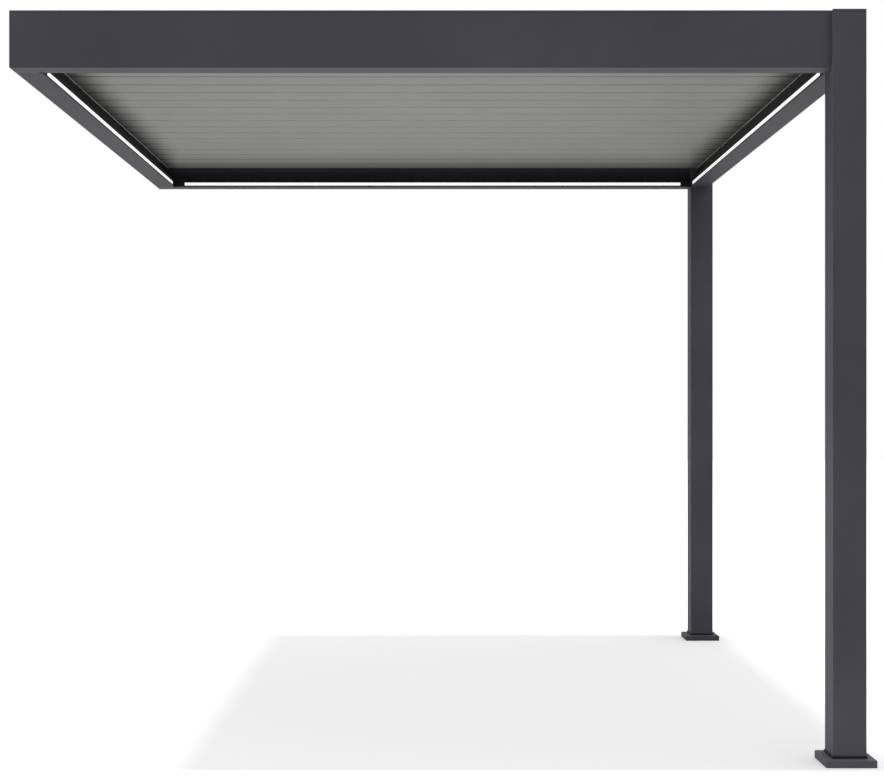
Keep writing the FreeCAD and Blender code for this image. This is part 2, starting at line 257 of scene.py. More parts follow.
@dataclass(frozen=True)
class Finish:
    """What all finishes share: a name and a Principled shader."""

    name: str

    def build(self) -> Material:
        """Make the material.

        Returns:
            The finished material.
        """
        material, nodes = empty_material(self.name)
        shader = nodes.add("ShaderNodeBsdfPrincipled")
        nodes.add("ShaderNodeOutputMaterial", {"Surface": shader.outputs["BSDF"]})
        self._lay(nodes, shader)
        return material

    def _lay(self, nodes: Nodes, shader: Node) -> None:
        """Lay the finish on the shader, which each finish does in its own way."""
        raise NotImplementedError(self.name)


@dataclass(frozen=True)
class PowderCoat(Finish):
    """A satin powder coat with its fine orange peel, faint clouding and a little dust on top, which on the
    louvers is heavy and dark and partly painted shade.
    """

    colour: Point
    cloud: float = 0.10
    clouds: Grain = Grain(2.2, 3.0)
    roughness: Pair = (0.56, 0.68)
    reflection: float = 0.35
    peel: Grain = Grain(420.0, 2.0)
    fine_peel: Grain = Grain(1900.0, 1.0)
    peel_strength: float = 0.35
    peel_height: float = 0.12 * MM
    dust_and_top_shade: float = 0.12
    dust_and_top_shade_colour: Point = (0.36, 0.35, 0.33)
    dust_grain: Grain = Grain(24.0, 6.0)
    dust_range: Pair = (0.93, 1.07)
    top_slopes: Pair = (0.6, 1.0)

    def _lay(self, nodes: Nodes, shader: Node) -> None:
        """Lay the coat and its dust, which on the louvers' tops is partly painted shade.

        Args:
            nodes: The material's nodes.
            shader: The material's shader.
        """
        place = nodes.place()
        nodes.feed(shader.inputs["Base Color"], self._dusted_and_top_shaded(nodes, self._coat(nodes)))
        peel = nodes.noise(place, self.peel)
        nodes.feed(shader.inputs["Roughness"], nodes.spread(peel, *self.roughness))
        height = nodes.math("ADD", peel, nodes.noise(place, self.fine_peel))
        nodes.bump(shader, height, self.peel_strength, self.peel_height)
        shader.inputs["Specular IOR Level"].default_value = self.reflection

    def _coat(self, nodes: Nodes) -> Socket:
        """The coat's colour, clouded a little."""
        clouds = nodes.spread(nodes.noise(nodes.place(), self.clouds))
        return nodes.two_tone(clouds, self.colour, self.cloud)

    def _dusted_and_top_shaded(self, nodes: Nodes, coat: Socket) -> Socket:
        """Lay dust on faces that look up: a little on the frame, and on the louvers a heavy dark layer that
        is partly painted shade.

        Args:
            nodes: The material's nodes.
            coat: The clean coat's colour.

        Returns:
            The colour with dust, which on the louvers is partly painted shade.
        """
        upward = nodes.part(nodes.add("ShaderNodeNewGeometry").outputs["Normal"], "Z")
        thin, thick = [share * self.dust_and_top_shade for share in self.dust_range]
        patches = nodes.spread(nodes.noise(nodes.place(), self.dust_grain), thin, thick)
        # Dust on faces that look up; on the louvers it is heavy and dark, partly painted shade.
        amount = nodes.math("MULTIPLY", nodes.ramp(upward, *self.top_slopes), patches)
        return nodes.mix(amount, coat, self.dust_and_top_shade_colour)


@dataclass(frozen=True)
class LouverCoat(PowderCoat):
    """A louver's coat, painted darker on its flat underside than on its rounded edges and in its joints,
    which is painted light that lifts the shade in the joints, and with painted shade below towards the ends
    and the back of the roof.

    The two pairs of slopes are upright parts of a face's normal: the darkening of the flat underside and the
    painted shade each begin at the first and are full at the second.
    """

    ends: Pair = (0.0, 1.0)
    back: float = 0.0
    end_fade: Pair = (0.020, 0.158)
    back_fade: Pair = (0.045, 0.580)
    back_share: float = 0.85
    flat_underside_darkening: float = 0.46
    flat_underside_slopes: Pair = (-0.75, -0.97)
    painted_shade_slopes: Pair = (0.1, -0.3)
    painted_shade_level: float = 0.12
    shade_tinge: Point = (1.0, 1.012, 0.89)
    shade_tinge_spread: float = 4.0

    def _coat(self, nodes: Nodes) -> Socket:
        """Darken the clouded coat's flat underside, and paint shade below near the louver's ends and the
        roof's back, with a slight olive tint.

        Args:
            nodes: The material's nodes.

        Returns:
            The coat's colour with its darkened underside and painted shade.
        """
        slope = self._slope(nodes)
        # Painted light in the joints: only the flat underside is darkened, so the edges and joint faces stay
        # lighter.
        flat_underside_darkening = nodes.math("MULTIPLY", nodes.ramp(slope, *self.flat_underside_slopes), self.flat_underside_darkening)
        # Painted shade below near the louver's ends and the roof's back, slightly olive where it is deep.
        painted_shade = nodes.math("MULTIPLY", nodes.ramp(slope, *self.painted_shade_slopes), self._nearest(nodes))
        shade_tinge = nodes.math("MINIMUM", nodes.math("MULTIPLY", painted_shade, self.shade_tinge_spread), 1.0)
        shade_tinged_colour = [channel * share for channel, share in zip(self.colour, self.shade_tinge)]
        shade_tinted = nodes.mix(shade_tinge, super()._coat(nodes), shade_tinged_colour)
        bare = nodes.math("MULTIPLY", nodes.math("SUBTRACT", 1.0, flat_underside_darkening), nodes.math("SUBTRACT", 1.0, painted_shade))
        black = [channel * self.painted_shade_level for channel in self.colour]
        return nodes.mix(nodes.math("SUBTRACT", 1.0, bare), shade_tinted, black)

    def _nearest(self, nodes: Nodes) -> Socket:
        """How near a place is to a louver's end or the roof's back.

        Args:
            nodes: The material's nodes.

        Returns:
            1 beside them, 0 far from both.
        """
        along, across = [nodes.part(nodes.place(), axis) for axis in "XY"]
        inward = nodes.math("SUBTRACT", along, self.ends[0])
        outward = nodes.math("SUBTRACT", self.ends[1], along)
        near_end = nodes.fading(nodes.math("MINIMUM", inward, outward), *self.end_fade)
        near_back = nodes.fading(nodes.math("SUBTRACT", self.back, across), *self.back_fade)
        return nodes.math("MAXIMUM", near_end, nodes.math("MULTIPLY", near_back, self.back_share))

    def _slope(self, nodes: Nodes) -> Socket:
        """How a face leans on the closed louver, from 1 for up to -1 for down, which turns with the louver.

        Args:
            nodes: The material's nodes.

        Returns:
            The upright part of the normal.
        """
        normal = nodes.add("ShaderNodeNewGeometry").outputs["Normal"]
        turned = nodes.add(
            "ShaderNodeVectorTransform", {"Vector": normal}, vector_type="NORMAL", convert_from="WORLD",
            convert_to="OBJECT",
        )
        return nodes.part(turned.outputs["Vector"], "Z")


@dataclass(frozen=True)
class InnerShadeCoat(PowderCoat):
    """The frame's coat on its faces towards the roof's middle, with painted shade between the strips and the
    louvers.
    """

    level: float = 0.0
    edge: float = 2.0 * MM
    roof: float = 40.0 * MM
    shade_fade: float = 12.0 * MM
    painted_shade_colour: Point = (0.016, 0.016, 0.015)

    def _coat(self, nodes: Nodes) -> Socket:
        """Cover the coat with near-black painted shade above the strips, fading out above the louvers'
        level.

        Args:
            nodes: The material's nodes.

        Returns:
            The coat's colour with its painted shade.
        """
        height = nodes.part(nodes.place(), "Z")
        # Painted shade: near black between the light strips and the louvers, fading out above the louvers.
        below = nodes.fading(height, self.level, self.level + self.edge)
        unshaded = nodes.math("MAXIMUM", below, nodes.ramp(height, self.roof, self.roof + self.shade_fade))
        return nodes.mix(unshaded, self.painted_shade_colour, super()._coat(nodes))


@dataclass(frozen=True)
class LitDiffuser(Finish):
    """The opal cover of a light strip, a little brighter over each diode."""

    colour: Point = (0.30, 0.30, 0.30)
    glow: Point = (1.0, 0.99, 0.97)
    strength: Pair = (0.82, 0.94)
    diode_pitch: float = 16.7 * MM
    frost: Grain = Grain(900.0, 2.0)
    roughness: Pair = (0.45, 0.60)

    def _lay(self, nodes: Nodes, shader: Node) -> None:
        """Lay the frosted cover and its glow.

        Args:
            nodes: The material's nodes.
            shader: The material's shader.
        """
        shader.inputs["Base Color"].default_value = (*self.colour, 1.0)
        shader.inputs["Emission Color"].default_value = (*self.glow, 1.0)
        place = nodes.place()
        along = nodes.math("ADD", nodes.part(place, "X"), nodes.part(place, "Y"))
        wave = nodes.math("SINE", nodes.math("MULTIPLY", along, 2.0 * math.pi / self.diode_pitch))
        nodes.feed(shader.inputs["Emission Strength"], nodes.ramp(wave, -1.0, 1.0, *self.strength))
        frost = nodes.noise(place, self.frost)
        nodes.feed(shader.inputs["Roughness"], nodes.spread(frost, *self.roughness))


@dataclass(frozen=True)
class DrawnMetal(Finish):
    """Bare metal with fine lines drawn along one axis."""

    colour: Point
    stretch: Point
    lines: Grain = Grain(60.0, 4.0)
    roughness: Pair = (0.24, 0.42)
    variation: float = 0.12
    relief_strength: float = 0.2
    relief: float = 0.05 * MM

    def _lay(self, nodes: Nodes, shader: Node) -> None:
        """Lay the metal and its lines.

        Args:
            nodes: The material's nodes.
            shader: The material's shader.
        """
        mapping = nodes.add("ShaderNodeMapping", {"Vector": nodes.place(), "Scale": self.stretch})
        lines = nodes.noise(mapping.outputs["Vector"], self.lines)
        tone = nodes.two_tone(nodes.spread(lines), self.colour, self.variation)
        nodes.feed(shader.inputs["Base Color"], tone)
        nodes.feed(shader.inputs["Roughness"], nodes.spread(lines, *self.roughness))
        nodes.bump(shader, lines, self.relief_strength, self.relief)
        shader.inputs["Metallic"].default_value = 1.0


@dataclass(frozen=True)
class Moulded(Finish):
    """Rubber or nylon with a fine moulded grain."""

    colour: Point
    roughness: Pair = (0.55, 0.75)
    grain: Grain = Grain(1400.0, 2.0)
    patches: Grain = Grain(30.0, 2.0)
    variation: float = 0.15
    reflection: float = 0.5
    relief_strength: float = 0.3
    relief: float = 0.1 * MM

    def _lay(self, nodes: Nodes, shader: Node) -> None:
        """Lay the colour and the grain.

        Args:
            nodes: The material's nodes.
            shader: The material's shader.
        """
        place = nodes.place()
        grain, patches = nodes.noise(place, self.grain), nodes.noise(place, self.patches)
        tone = nodes.two_tone(nodes.spread(patches), self.colour, self.variation)
        nodes.feed(shader.inputs["Base Color"], tone)
        nodes.feed(shader.inputs["Roughness"], nodes.spread(grain, *self.roughness))
        nodes.bump(shader, grain, self.relief_strength, self.relief)
        shader.inputs["Specular IOR Level"].default_value = self.reflection


def louver_names() -> list[str]:
    """The louvers in their order from front to back."""
    return sorted(name for name in frame["nodes"] if name.startswith("louver_"))


def louver_ends() -> Pair:
    """Where the louvers begin and end, from a pivot's place and the two beams that carry the pins.

    Returns:
        The X of both ends.
    """
    start = next(joint["pos_m"][0] for joint in frame["joints"] if joint["child"].startswith("louver_"))
    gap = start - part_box("wall_beam")[1].x
    return start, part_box("side_beam")[0].x - gap


class Finishes:
    """Every finish of the pergola, each built once."""

    anthracite: Point = (0.073, 0.071, 0.083)

    def __init__(self) -> None:
        """Build the materials."""
        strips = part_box("wall_light")[1].z
        roof_back = max(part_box(name)[1].y for name in louver_names())
        self.frame = PowderCoat("anthracite_coat", self.anthracite, reflection=0.08).build()
        # Painted shade on the frame's inner faces above the light strips.
        self.inner = InnerShadeCoat("grimy_inner_coat", self.anthracite, reflection=0.05, level=strips).build()
        # Painted light: a lighter coat for the front and back undersides.
        self.underside_painted_light = PowderCoat("chalky_under_coat", (0.116, 0.113, 0.131), reflection=0.08).build()
        # The louvers' colour shows in full on their edges and in their joints, as painted light; the flat
        # underside is painted darker and has painted shade near the ends and the back.
        self.louver = LouverCoat(
            # The heavy dark dust on the louvers' tops is dust and partly painted shade.
            "light_grey_coat", (0.475, 0.475, 0.460), cloud=0.03, dust_and_top_shade=0.70,
            dust_and_top_shade_colour=(0.190, 0.187, 0.178), ends=louver_ends(), back=roof_back,
        ).build()
        self.end_cap = Moulded("pale_end_cap", (0.82, 0.82, 0.80), roughness=(0.30, 0.42)).build()
        self.light = LitDiffuser("lit_diffuser").build()
        self.bar = DrawnMetal("mill_aluminium", (0.60, 0.61, 0.63), (40.0, 1.0, 40.0)).build()
        self.zinc = DrawnMetal("zinc_plate", (0.46, 0.47, 0.50), (3.0, 3.0, 3.0)).build()
        self.steel = DrawnMetal("stainless_screw", (0.55, 0.55, 0.56), (6.0, 6.0, 6.0)).build()
        self.rubber = Moulded("black_seal", (0.012, 0.012, 0.016), reflection=0.1).build()
        self.nylon = Moulded("black_nylon", (0.030, 0.030, 0.032), roughness=(0.35, 0.5)).build()
        self.of_slot = {
            Slot.FRAME: self.frame,
            Slot.LOUVER: self.louver,
            Slot.LIGHT: self.light,
            Slot.ALUMINIUM: self.bar,
            Slot.ZINC: self.zinc,
        }


def placed(name: str, data: bpy.types.ID) -> Object:
    """Put a mesh, a lamp or a camera in the scene.

    Args:
        name: The object's name.
        data: What it holds. A mesh is already in place.

    Returns:
        The new object, at the origin.
    """
    made = bpy.data.objects.new(name, data)
    bpy.context.scene.collection.objects.link(made)
    return made


def formed(name: str, work: bmesh.types.BMesh, finish: Optional[Material] = None) -> Object:
    """Turn worked faces into an object, with its faces outward.

    Args:
        name: The object's name.
        work: The faces, which are used up.
        finish: Its material, where it has one already.

    Returns:
        The object.
    """
    bmesh.ops.recalc_face_normals(work, faces=work.faces)
    mesh = bpy.data.meshes.new(name)
    work.to_mesh(mesh)
    work.free()
    if finish is not None:
        mesh.materials.append(finish)
    return placed(name, mesh)


def baked(source: Object, name: str) -> Object:
    """Turn an object with live modifiers into a plain mesh object, and remove the source.

    Args:
        source: The object whose modifiers are applied.
        name: The new object's name.

    Returns:
        The plain object.
    """
    evaluated = source.evaluated_get(bpy.context.evaluated_depsgraph_get())
    mesh = bpy.data.meshes.new_from_object(evaluated)
    bpy.data.objects.remove(source)
    return placed(name, mesh)


def give(piece: Object, body: str = "frame") -> Object:
    """Let a piece ride on a body.

    Args:
        piece: The finished piece.
        body: The body that carries it.

    Returns:
        The piece.
    """
    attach(piece, body)
    log.info("%s rides on %s with %d faces", piece.name, body, len(piece.data.polygons))
    return piece


@dataclass
class RoundedNode:
    """A CAD node shown with its edges rounded and its round faces smooth."""

    node: str
    body: str = "frame"
    slot: Slot = Slot.FRAME
    edge: float = 0.5 * MM
    steps: int = 2
    merge: float = 0.01 * MM
    flat_angle: float = math.radians(0.5)
    sharp_angle: float = math.radians(32.0)
    flat_weight: int = 100

    def build(self, finishes: Finishes) -> Object:
        """Copy the node, round its edges and let the copy stand for it.

        Args:
            finishes: The pergola's finishes.

        Returns:
            The rounded piece.
        """
        work = bmesh.new()
        work.from_mesh(frame["nodes"][self.node].data)
        bmesh.ops.remove_doubles(work, verts=work.verts, dist=self.merge)
        bmesh.ops.dissolve_limit(
            work, angle_limit=self.flat_angle, verts=work.verts, edges=work.edges, delimit=set()
        )
        source = formed(self.node + "_source", work)
        source.data.shade_smooth()
        bevel = source.modifiers.new("edge", "BEVEL")
        bevel.width = self.edge
        bevel.segments = self.steps
        bevel.limit_method = "ANGLE"
        bevel.angle_limit = self.sharp_angle
        bevel.use_clamp_overlap = True
        weighted = source.modifiers.new("normals", "WEIGHTED_NORMAL")
        weighted.mode = "FACE_AREA_WITH_ANGLE"
        weighted.weight = self.flat_weight
        piece = baked(source, self.node + "_skin")
        piece.data.materials.clear()
        piece.data.materials.append(finishes.of_slot[self.slot])
        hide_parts(self.node)
        return give(piece, self.body)


class RowTree:
    """A Geometry Nodes group that sets copies of a part along a line from each of its points."""

    inputs: dict[str, str] = {
        "Starts": "NodeSocketGeometry",
        "Part": "NodeSocketObject",
        "Count": "NodeSocketInt",
        "Step": "NodeSocketVector",
        "Turn": "NodeSocketVector",
        "Twist": "NodeSocketFloat",
        "Seed": "NodeSocketInt",
        "Finish": "NodeSocketMaterial",
    }
    seed: int = 7
    sharp_angle: float = math.radians(35.0)

    def __init__(self) -> None:
        """Build the group once."""
        self.tree = bpy.data.node_groups.new("row_of_parts", "GeometryNodeTree")
        for name, kind in self.inputs.items():
            self.tree.interface.new_socket(name, in_out="INPUT", socket_type=kind)
        self.tree.interface.new_socket("Row", in_out="OUTPUT", socket_type="NodeSocketGeometry")
        self._wire(Nodes(self.tree))

    def _wire(self, nodes: Nodes) -> None:
        """Add and link the group's nodes.

        Args:
            nodes: The group's nodes.
        """
        given = nodes.add("NodeGroupInput").outputs
        on_points = "GeometryNodeInstanceOnPoints"
        spacing = {"Count": given["Count"], "Offset": given["Step"]}
        line = nodes.add("GeometryNodeMeshLine", spacing, mode="OFFSET")
        lines = nodes.add(on_points, {"Points": given["Starts"], "Instance": line.outputs["Mesh"]})
        points = nodes.add("GeometryNodeRealizeInstances", {"Geometry": lines.outputs["Instances"]})
        part = nodes.add("GeometryNodeObjectInfo", {"Object": given["Part"]}, transform_space="ORIGINAL")
        parts = nodes.add(on_points, {
            "Points": points.outputs["Geometry"],
            "Instance": part.outputs["Geometry"],
            "Rotation": given["Turn"],
        })
        largest, value = 3, 1
        chance = nodes.add(
            "FunctionNodeRandomValue", {largest: given["Twist"], "Seed": given["Seed"]}, data_type="FLOAT"
        )
        spin = nodes.add("ShaderNodeCombineXYZ", {"Z": chance.outputs[value]})
        twisted = nodes.add("GeometryNodeRotateInstances", {
            "Instances": parts.outputs["Instances"],
            "Rotation": spin.outputs["Vector"],
        })
        solid = nodes.add("GeometryNodeRealizeInstances", {"Geometry": twisted.outputs["Instances"]})
        painted = nodes.add(
            "GeometryNodeSetMaterial", {"Geometry": solid.outputs["Geometry"], "Material": given["Finish"]}
        )
        nodes.add("NodeGroupOutput", {"Row": painted.outputs["Geometry"]})

    def _identifier(self, name: str) -> str:
        """The identifier of a named input."""
        return next(item.identifier for item in self.tree.interface.items_tree if item.name == name)

    def lay(
        self,
        name: str,
        part: Object,
        finish: Material,
        starts: Iterable[Sequence[float]],
        step: Sequence[float] = (0.0, 0.0, 0.0),
        count: int = 1,
        turn: Point = (0.0, 0.0, 0.0),
        twist: float = 0.0,
        body: str = "frame",
        slot: Optional[Slot] = None,
    ) -> None:
        """Set copies of a part in rows, as one piece.

        Args:
            name: The piece's name.
            part: The part that is repeated, modelled about the origin.
            finish: Its material.
            starts: The first place of each row.
            step: From one place to the next.
            count: Places in each row.
            turn: Rotation of each copy, in radians about X, Y and Z.
            twist: The largest random turn of a copy about its own axis.
            body: The body that carries the piece.
            slot: The record's slot, where the piece has one; not used.
        """
        mesh = bpy.data.meshes.new(name + "_starts")
        mesh.from_pydata([tuple(point) for point in starts], [], [])
        source = placed(name + "_rows", mesh)
        modifier = source.modifiers.new("rows", "NODES")
        modifier.node_group = self.tree
        settings = {"Part": part, "Count": count, "Step": step, "Turn": turn}
        settings |= {"Twist": twist, "Seed": self.seed, "Finish": finish}
        for label, value in settings.items():
            modifier[self._identifier(label)] = value
        source.update_tag()
        bpy.context.view_layer.update()
        made = baked(source, name)
        made.data.shade_smooth()
        made.data.set_sharp_from_angle(angle=self.sharp_angle)
        give(made, body)


def revolved(name: str, outline: Sequence[Pair], sides: int) -> Object:
    """Turn an outline about Z into a closed solid.

    Args:
        name: The object's name.
        outline: Radius and height of each point, from the axis and back to it, or a closed ring.
        sides: Facets round the axis.

    Returns:
        The solid, about the origin.
    """
    work = bmesh.new()
    turns = [2.0 * math.pi * i / sides for i in range(sides)]
    rings = []
    for radius, height in outline:
        if radius == 0.0:
            rings.append([work.verts.new((0.0, 0.0, height))])
            continue
        rings.append([work.verts.new((radius * math.cos(a), radius * math.sin(a), height)) for a in turns])
    closed = outline[0][0] != 0.0
    pairs = list(zip(rings, rings[1:])) + ([(rings[-1], rings[0])] if closed else [])
    for low, high in pairs:
        for i in range(sides):
            j = (i + 1) % sides
            corners = [low[i % len(low)], low[j % len(low)], high[j % len(high)], high[i % len(high)]]
            work.faces.new(list(dict.fromkeys(corners)))
    return formed(name, work)


def blocks(name: str, corners: Sequence[tuple[Point, Point]], finish: Material) -> Object:
    """Make one piece of closed rectangular blocks.

    Args:
        name: The object's name.
        corners: The lowest and the highest corner of each block.
        finish: Its material.

    Returns:
        The piece.
    """
    work = bmesh.new()
    for low, high in corners:
        for vertex in bmesh.ops.create_cube(work, size=1.0)["verts"]:
            vertex.co = [a + (share + 0.5) * (b - a) for a, b, share in zip(low, high, vertex.co)]
    return formed(name, work, finish)


@dataclass
class Fasteners:
    """Models of the small parts that repeat, each about the origin with its head up."""

    screw_radius: float = 4.0 * MM
    screw_height: float = 2.4 * MM
    socket_radius: float = 1.6 * MM
    screw_sides: int = 18
    bolt_across: float = 16.0 * MM
    bolt_height: float = 6.4 * MM
    bolt_chamfer: float = 0.8 * MM
    washer_radius: float = 10.0 * MM
    washer_thick: float = 1.6 * MM
    head_gap: float = 0.05 * MM
    head_sides: int = 6
    ring_sides: int = 24
    made: list[Object] = field(default_factory=list)

    def screw(self) -> Object:
        """A pan head screw with a socket in its head."""
        radius, height, socket = self.screw_radius, self.screw_height, self.socket_radius
        outline = [
            (0.0, 0.0),
            (radius, 0.0),
            (radius, 0.35 * height),
            (0.93 * radius, 0.66 * height),
            (0.74 * radius, 0.90 * height),
            (1.15 * socket, height),
            (socket, 0.96 * height),
            (socket, 0.35 * height),
            (0.0, 0.35 * height),
        ]
        return self._keep(revolved("screw_model", outline, self.screw_sides))

    def bolt(self) -> Object:
        """A hexagon head on a round washer.

        Returns:
            The bolt's model.
        """
        radius, thick = self.washer_radius, self.washer_thick
        corner = self.bolt_across / math.sqrt(3.0)
        bottom, top = thick + self.head_gap, thick + self.bolt_height
        rim = [(radius, 0.0), (radius, thick), (0.56 * self.bolt_across, thick)]
        flank = [(corner, bottom), (corner, top - self.bolt_chamfer), (0.84 * corner, top)]
        model = revolved("bolt_model", [(0.0, 0.0), *rim, (0.0, thick)], self.ring_sides)
        upper = revolved("bolt_head_model", [(0.0, bottom), *flank, (0.0, top)], self.head_sides)
        work = bmesh.new()
        work.from_mesh(model.data)
        work.from_mesh(upper.data)
        work.to_mesh(model.data)
        work.free()
        bpy.data.objects.remove(upper)
        return self._keep(model)

    def ring(self, name: str, inner: float, outer: float, thick: float, round_edge: float) -> Object:
        """A flat ring, such as a bush's flange or a clip.

        Args:
            name: The model's name.
            inner: Radius of its hole.
            outer: Radius of its rim.
            thick: Its height.
            round_edge: How far the rim's edge is broken.

        Returns:
            The ring's model.
        """
        rim = [(outer, 0.0), (outer, thick - round_edge), (outer - round_edge, thick)]
        return self._keep(revolved(name, [(inner, 0.0), *rim, (inner, thick)], self.ring_sides))

    def _keep(self, model: Object) -> Object:
        """Note a model, so that it is removed at the end."""
        self.made.append(model)
        return model

    def clear(self) -> None:
        """Remove the models once their copies are made."""
        for model in self.made:
            bpy.data.objects.remove(model)
        self.made.clear()


class Workshop:
    """What every sub-assembly uses: finishes, the row group and the fastener models."""

    def __init__(self) -> None:
        """Set out the finishes, the group and the models."""
        self.finishes = Finishes()
        self.rows = RowTree()
        self.fasteners = Fasteners()
        self.screw = self.fasteners.screw()
        self.bolt = self.fasteners.bolt()


@dataclass
class SquareSeal:
    """A thin seal laid round a square post."""

    name: str
    thick: float
    proud: float
    sunk: float = 1.0 * MM
    top_share: float = 0.4

    def build(self, post: str, level: float, finish: Material) -> None:
        """Lay the seal round a post at a height.

        Args:
            post: The square CAD node that it goes round.
            level: The seal's lower edge.
            finish: The seal's material.
        """
        low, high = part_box(post)
        top = level + self.thick
        upper, lower = (self.proud * self.top_share, top), (self.proud, level)
        work = bmesh.new()
        rings = []
        for reach, height in ((-self.sunk, level), lower, upper, (-self.sunk, top)):
            left, right, front, back = low.x - reach, high.x + reach, low.y - reach, high.y + reach
            corners = ((left, front), (right, front), (right, back), (left, back))
            rings.append([work.verts.new((x, y, height)) for x, y in corners])
        for ring, following in zip(rings, rings[1:] + rings[:1]):
            for i, j in ((0, 1), (1, 2), (2, 3), (3, 0)):
                work.faces.new((ring[i], ring[j], following[j], following[i]))
        give(formed(self.name, work, finish))


@dataclass
class Posts:
    """The two posts with their caps, anchor plates and foot covers."""

    shop: Workshop
    cap_seal: Pair = (0.8 * MM, 0.15 * MM)
    foot_bead_and_shade: Pair = (9.0 * MM, 3.5 * MM)
    bolt_inset: float = 10.0 * MM

    def build(self) -> None:
        """Dress the posts and what stands with them."""
        finishes = self.shop.finishes
        for end in ENDS:
            for kind in ("_post", "_post_cap", "_foot_cover"):
                RoundedNode(end + kind).build(finishes)
            RoundedNode(end + "_anchor_plate", slot=Slot.ZINC).build(finishes)
            post, cover_top = end + "_post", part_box(end + "_foot_cover")[1].z
            SquareSeal(end + "_cap_seal", *self.cap_seal).build(post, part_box(post)[1].z, finishes.rubber)
            # The black foot bead seals the post and is made tall enough to stand in for the shade at its
            # foot: partly painted shade.
            SquareSeal(end + "_foot_bead", *self.foot_bead_and_shade).build(post, cover_top, finishes.rubber)
            self._bolts(end)

    def _bolts(self, end: str) -> None:
        """Set an anchor bolt in each hole of the plate.

        Args:
            end: Front or back.
        """
        low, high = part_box(end + "_anchor_plate")
        across = (low.x + self.bolt_inset, high.x - self.bolt_inset)
        along = (low.y + self.bolt_inset, high.y - self.bolt_inset)
        self.shop.rows.lay(
            end + "_anchor_bolts", self.shop.bolt, self.shop.finishes.zinc,
            [(x, y, high.z) for x in across for y in along], twist=math.pi, slot=Slot.ZINC,
        )


@dataclass(frozen=True)
class Flange:
    """A screwed flange of a profile, and where its row of screws lies.

    The row begins at the start from the profile's lower end, and the spare is what its length leaves
    free in all. The height counts from the profile's lower edge, or down from its upper edge at the
    ends named in from_above.
    """

    kind: str
    label: str
    thick: float
    height: float
    start: float
    spare: float
    from_above: tuple[str, ...] = ()


@dataclass
class Roof:
    """The beams, gutters, lights and closing strips round the louvers."""

    shop: Workshop
    profile_edge: float = 0.25 * MM
    same_plane: float = 0.01 * MM
    screw_pitch: float = 300.0 * MM
    wall_bolt_pitch: float = 800.0 * MM
    wall_bolt_count: int = 4
    long_gutter: Flange = Flange("_gutter", "_gutter_screws", 2 * MM, 22 * MM, 130 * MM, 200 * MM)
    cross_gutter: Flange = Flange("_gutter", "_gutter_screws", 2 * MM, 22 * MM, 60 * MM, 120 * MM)
    strip: Flange = Flange("_closing_strip", "_strip_screws", 3 * MM, 8 * MM, 100 * MM, 200 * MM, ("back",))

    def build(self) -> None:
        """Dress the frame of the roof."""
        for side in INWARD:
            for kind in ("_beam", "_gutter"):
                self._profile(side, kind)
            lit = frame["nodes"][side + "_light"].data.materials
            lit.clear()
            lit.append(self.shop.finishes.light)
        for end in ENDS:
            for kind in ("_end_cap", "_closing_strip"):
                RoundedNode(end + kind).build(self.shop.finishes)
        flanges = ((ENDS, self.long_gutter), (PIVOT_SIDES, self.cross_gutter), (ENDS, self.strip))
        for sides, flange in flanges:
            for side in sides:
                self._flange_screws(side, flange)
        self.shop.rows.lay(
            "wall_bolts", self.shop.bolt, self.shop.finishes.frame,
            [(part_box("wall_beam")[1].x, -self.wall_bolt_pitch * (self.wall_bolt_count - 1) / 2, 0.0)],
            (0.0, self.wall_bolt_pitch, 0.0), self.wall_bolt_count, Facing.POSTS.turn, math.pi,
            slot=Slot.FRAME,
        )

    def _profile(self, side: str, kind: str) -> None:
        """Dress a beam or gutter, with painted shade on its inner face where it is a side beam or a gutter,
        and painted light on its underside at the front and back.

        Args:
            side: The side of the roof.
            kind: Beam or gutter, as its node's name ends.
        """
        finishes = self.shop.finishes
        mesh = RoundedNode(side + kind, edge=self.profile_edge).build(finishes).data
        across = INWARD[side].axis
        middle = (CAD_BOX[0][across] + CAD_BOX[1][across]) / 2
        inner = min((vertex.co[across] for vertex in mesh.vertices), key=lambda value: abs(value - middle))
        # Painted shade on the inner face of the side beams and of every gutter.
        if side in PIVOT_SIDES or kind == "_gutter":
            self._paint_plane(mesh, across, inner, finishes.inner)
        # Painted light on the front and back undersides.
        if side in ENDS:
            self._paint_plane(mesh, 2, min(vertex.co.z for vertex in mesh.vertices), finishes.underside_painted_light)

    def _paint_plane(self, mesh: Mesh, axis: int, level: float, finish: Material) -> None:
        """Give the faces that lie in one plane their own coat.

        Args:
            mesh: The beam's or gutter's mesh.
            axis: The axis across the plane.
            level: The plane's place on it.
            finish: The coat.
        """
        mesh.materials.append(finish)
        for face in mesh.polygons:
            if all(abs(mesh.vertices[index].co[axis] - level) < self.same_plane for index in face.vertices):
                face.material_index = len(mesh.materials) - 1

    def _flange_screws(self, side: str, flange: Flange) -> None:
        """Screw a gutter's or strip's flange to its beam.

        Args:
            side: The side of the roof.
            flange: The flange and its row of screws.
        """
        box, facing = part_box(side + flange.kind), INWARD[side]
        across, along = facing.axis, 1 - facing.axis
        start, step = Vector(), Vector()
        start[across] = face_of(box, across, -facing.sign) + facing.sign * flange.thick
        start[along] = box[0][along] + flange.start
        start.z = box[1].z - flange.height if side in flange.from_above else box[0].z + flange.height
        step[along] = self.screw_pitch
        count = int((box[1][along] - box[0][along] - flange.spare) / self.screw_pitch) + 1
        self.shop.rows.lay(
            side + flange.label, self.shop.screw, self.shop.finishes.steel, [start], step, count,
            facing.turn, math.pi,
        )


